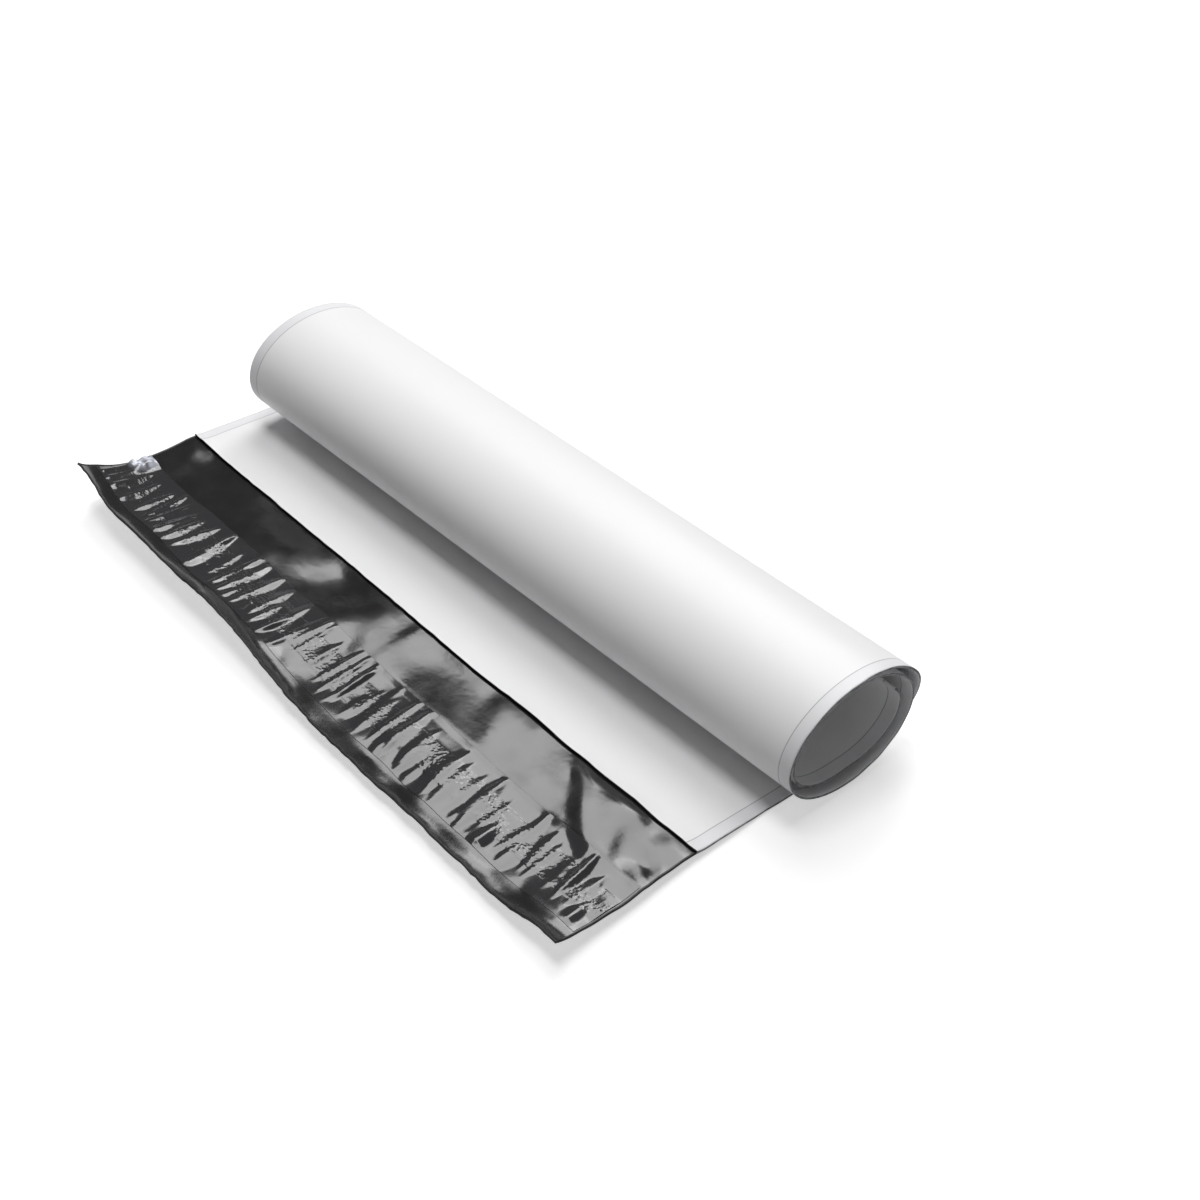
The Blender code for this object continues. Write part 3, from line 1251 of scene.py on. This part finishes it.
class ReleaseLiner(FlapStrip):
    """The clear liner, wrinkled across and crumpled at its left end."""

    # Share, speck size and seed of the painted highlight on the crumpled corner.
    GLINT_SHARE: float = 0.7
    GLINT_CELL: float = 1.6
    GLINT_SEED: int = 61

    def heights(self, u: np.ndarray, v: np.ndarray) -> np.ndarray:
        """Height of the liner's underside above the floor of the flat drawing."""
        return self.shape.film(u, v) + self.shape.liner(u, v)

    def mark(self, mesh: bpy.types.Mesh, u: np.ndarray, v: np.ndarray) -> None:
        """Write where the liner's crumpled corner takes its painted highlight, which its finish
        reads.

        Args:
            mesh: The liner's mesh, still flat.
            u: Places across the bag.
            v: Places along the bag.
        """
        # Painted highlight: speckled share of bluish white where the corner is crumpled.
        glint_specks = soft_noise(u, v, self.GLINT_CELL, self.GLINT_CELL, self.GLINT_SEED)
        glint = np.clip(self.GLINT_SHARE + self.GLINT_SHARE * glint_specks, 0.0, 1.0)
        share = self.shape.crumple(u, v) * glint
        marks = mesh.attributes.new("crumple", "FLOAT", "POINT")
        marks.data.foreach_set("value", share.astype(np.float32))


class GlueStrip(FlapStrip):
    """The hot-melt strip between the film and the liner."""

    ABOVE_FILM: float = 0.19

    def heights(self, u: np.ndarray, v: np.ndarray) -> np.ndarray:
        """Height of the glue's underside above the floor of the flat drawing."""
        return self.shape.film(u, v) + self.ABOVE_FILM


def read_places(mesh: bpy.types.Mesh) -> np.ndarray:
    """Read where a mesh's vertices are.

    Args:
        mesh: The mesh to read.

    Returns:
        Their places, one row each.
    """
    values = np.zeros(len(mesh.vertices) * 3)
    mesh.vertices.foreach_get("co", values)
    return values.reshape(-1, 3)


def write_map(mesh: bpy.types.Mesh, across: np.ndarray, along: np.ndarray) -> None:
    """Write the film's own map: millimetres across and along the flat film.

    Args:
        mesh: The mesh to map.
        across: Place of each vertex across the bag.
        along: Place of each vertex along the film.
    """
    corners = np.zeros(len(mesh.loops), int)
    mesh.loops.foreach_get("vertex_index", corners)
    layer = mesh.uv_layers.new(name="film")
    layer.data.foreach_set("uv", np.stack([across[corners], along[corners]], axis=1).ravel())


def add_piece(name: str, mesh: bpy.types.Mesh, places: np.ndarray,
              materials: list[bpy.types.Material]) -> bpy.types.Object:
    """Move a mesh to its wound places and add it to the scene as a piece of the bag.

    Args:
        name: The piece's name.
        mesh: Its mesh, still flat.
        places: Places of its vertices in metres.
        materials: Its materials in slot order.

    Returns:
        The new object, at the origin.
    """
    mesh.vertices.foreach_set("co", places.ravel())
    mesh.update()
    mesh.shade_smooth()
    for material in materials:
        mesh.materials.append(material)
    piece = bpy.data.objects.new(name, mesh)
    bpy.context.scene.collection.objects.link(piece)
    LOG.info("%s: %d vertices, %d faces", name, len(mesh.vertices), len(mesh.polygons))
    return piece


@dataclass(frozen=True)
class Softbox:
    """A soft lamp that faces the bag: angles in degrees, sizes in metres, power in watts."""

    name: str
    azimuth: float
    elevation: float
    width: float
    height: float
    power: float
    distance: float = 1.1

    def hang(self) -> None:
        """Add the lamp to the scene."""
        lamp = bpy.data.lights.new(self.name, "AREA")
        lamp.shape = "RECTANGLE"
        lamp.size = self.width
        lamp.size_y = self.height
        lamp.energy = self.power
        azimuth, elevation = math.radians(self.azimuth), math.radians(self.elevation)
        towards = Vector((math.cos(azimuth) * math.cos(elevation),
                          math.sin(azimuth) * math.cos(elevation), math.sin(elevation)))
        holder = bpy.data.objects.new(self.name, lamp)
        holder.location = towards * self.distance
        holder.rotation_euler = towards.to_track_quat("Z", "Y").to_euler()
        bpy.context.scene.collection.objects.link(holder)


@dataclass(frozen=True)
class Studio:
    """Pale floor, soft lamps overhead and behind the roll, and a weak pale surround."""

    floor_colour: str = "#d8d8d8"
    floor_roughness: float = 0.9
    floor_half_width: float = 6.0
    floor_glow: float = 0.52
    lamps: tuple[Softbox, ...] = (
        Softbox("top_softbox", azimuth=-80.0, elevation=87.0, width=0.42, height=0.32, power=5.0),
        Softbox("back_softbox", azimuth=130.3, elevation=57.4, width=0.59, height=0.70, power=6.0),
        Softbox("low_softbox", azimuth=118.0, elevation=34.0, width=0.35, height=0.30, power=1.55),
    )
    surround: float = 0.11
    focal_pixels: float = 1868.2
    picture_pixels: float = 1200.0
    sensor: float = 36.0
    nearest_shown: float = 0.01
    pitch: float = 38.70
    yaw: float = 48.865
    eye_from_roll: tuple[float, float, float] = (350.9, -286.3, 352.0)

    def add_floor(self, height: float) -> None:
        """Lay a floor that reads as white and keeps the bag's shadow.

        Args:
            height: Height of the floor in metres.
        """
        bm = bmesh.new()
        bmesh.ops.create_grid(bm, x_segments=1, y_segments=1, size=self.floor_half_width)
        mesh = bpy.data.meshes.new("floor")
        bm.to_mesh(mesh)
        bm.free()
        floor = bpy.data.objects.new("floor", mesh)
        floor.location.z = height
        bpy.context.scene.collection.objects.link(floor)
        surface = Surface("matt_paper_floor")
        surface.paint(self.floor_colour)
        surface.shader.inputs["Roughness"].default_value = self.floor_roughness
        surface.shader.inputs["Specular IOR Level"].default_value = 0.0
        surface.shader.inputs["Emission Color"].default_value = (1.0, 1.0, 1.0, 1.0)
        camera_ray = add_node(surface.tree, "ShaderNodeLightPath").outputs["Is Camera Ray"]
        glow = add_node(surface.tree, "ShaderNodeMath",
                        {"operation": "MULTIPLY", 1: self.floor_glow}, {0: camera_ray})
        surface.feed("Emission Strength", glow.outputs[0])
        mesh.materials.append(surface.material)

    def add_light(self) -> None:
        """Hang the lamps and set the surround, which only the camera sees as white."""
        for lamp in self.lamps:
            lamp.hang()
        world = bpy.data.worlds.new("pale_surround")
        world.use_nodes = True
        tree = world.node_tree
        background = tree.nodes["Background"]
        background.inputs["Color"].default_value = (1.0, 1.0, 1.0, 1.0)
        camera_ray = add_node(tree, "ShaderNodeLightPath").outputs["Is Camera Ray"]
        strength = add_node(tree, "ShaderNodeMapRange", {"To Min": self.surround},
                            {"Value": camera_ray}).outputs[0]
        tree.links.new(strength, background.inputs["Strength"])
        bpy.context.scene.world = world

    def add_camera(self, roll_middle: np.ndarray) -> None:
        """Put the camera where the photograph was taken from.

        Args:
            roll_middle: Middle of the roll's lowest line, in metres.
        """
        camera = bpy.data.cameras.new("camera")
        camera.sensor_width = self.sensor
        camera.lens = self.focal_pixels / self.picture_pixels * self.sensor
        camera.clip_start = self.nearest_shown
        holder = bpy.data.objects.new("camera", camera)
        holder.location = Vector(roll_middle) + Vector(self.eye_from_roll) * MM
        holder.rotation_euler = (math.radians(90.0 - self.pitch), 0.0, math.radians(self.yaw))
        bpy.context.scene.collection.objects.link(holder)
        bpy.context.scene.camera = holder


def dress(piece: bpy.types.Object, node: str) -> None:
    """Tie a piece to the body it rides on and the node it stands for.

    Args:
        piece: The finished piece.
        node: The CAD node that it replaces.
    """
    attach(piece, "root")
    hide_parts(node)


def main() -> None:
    """Build the bag's three pieces, then the floor, the light and the camera."""
    logging.basicConfig(level=logging.INFO, format="%(name)s: %(message)s")
    winding = Winding(SIZES)
    shape = FlapShape()
    roll_middle = winding.origin + np.array([SIZES.roll_shift, 0.0, 0.0])
    studio = Studio()
    studio.add_camera(roll_middle * MM)
    film = [WeldEdge().make(), WhiteFilm().make(), BlackFilm().make(), CutEdge().make()]
    dress(FilmBag(winding, shape).build(film), "mailer_film")
    glue = GlueStrip(
        "glue_strip", winding, shape, low=SIZES.glue_from_edge, width=SIZES.glue_width,
        margin=3.0, thickness=0.1, column_step=1.0, row_step=0.9,
    )
    dress(glue.build(HotMelt().make()), "adhesive_strip")
    liner = ReleaseLiner(
        "release_liner_clear", winding, shape, low=SIZES.liner_from_edge,
        width=SIZES.liner_width, margin=0.8, thickness=0.06, column_step=0.62, row_step=0.66,
    )
    dress(liner.build(ClearLiner().make()), "release_liner")
    studio.add_floor(winding.origin[2] * MM)
    studio.add_light()
    bpy.context.scene.view_settings.view_transform = "Standard"


if __name__ == "__main__":
    main()
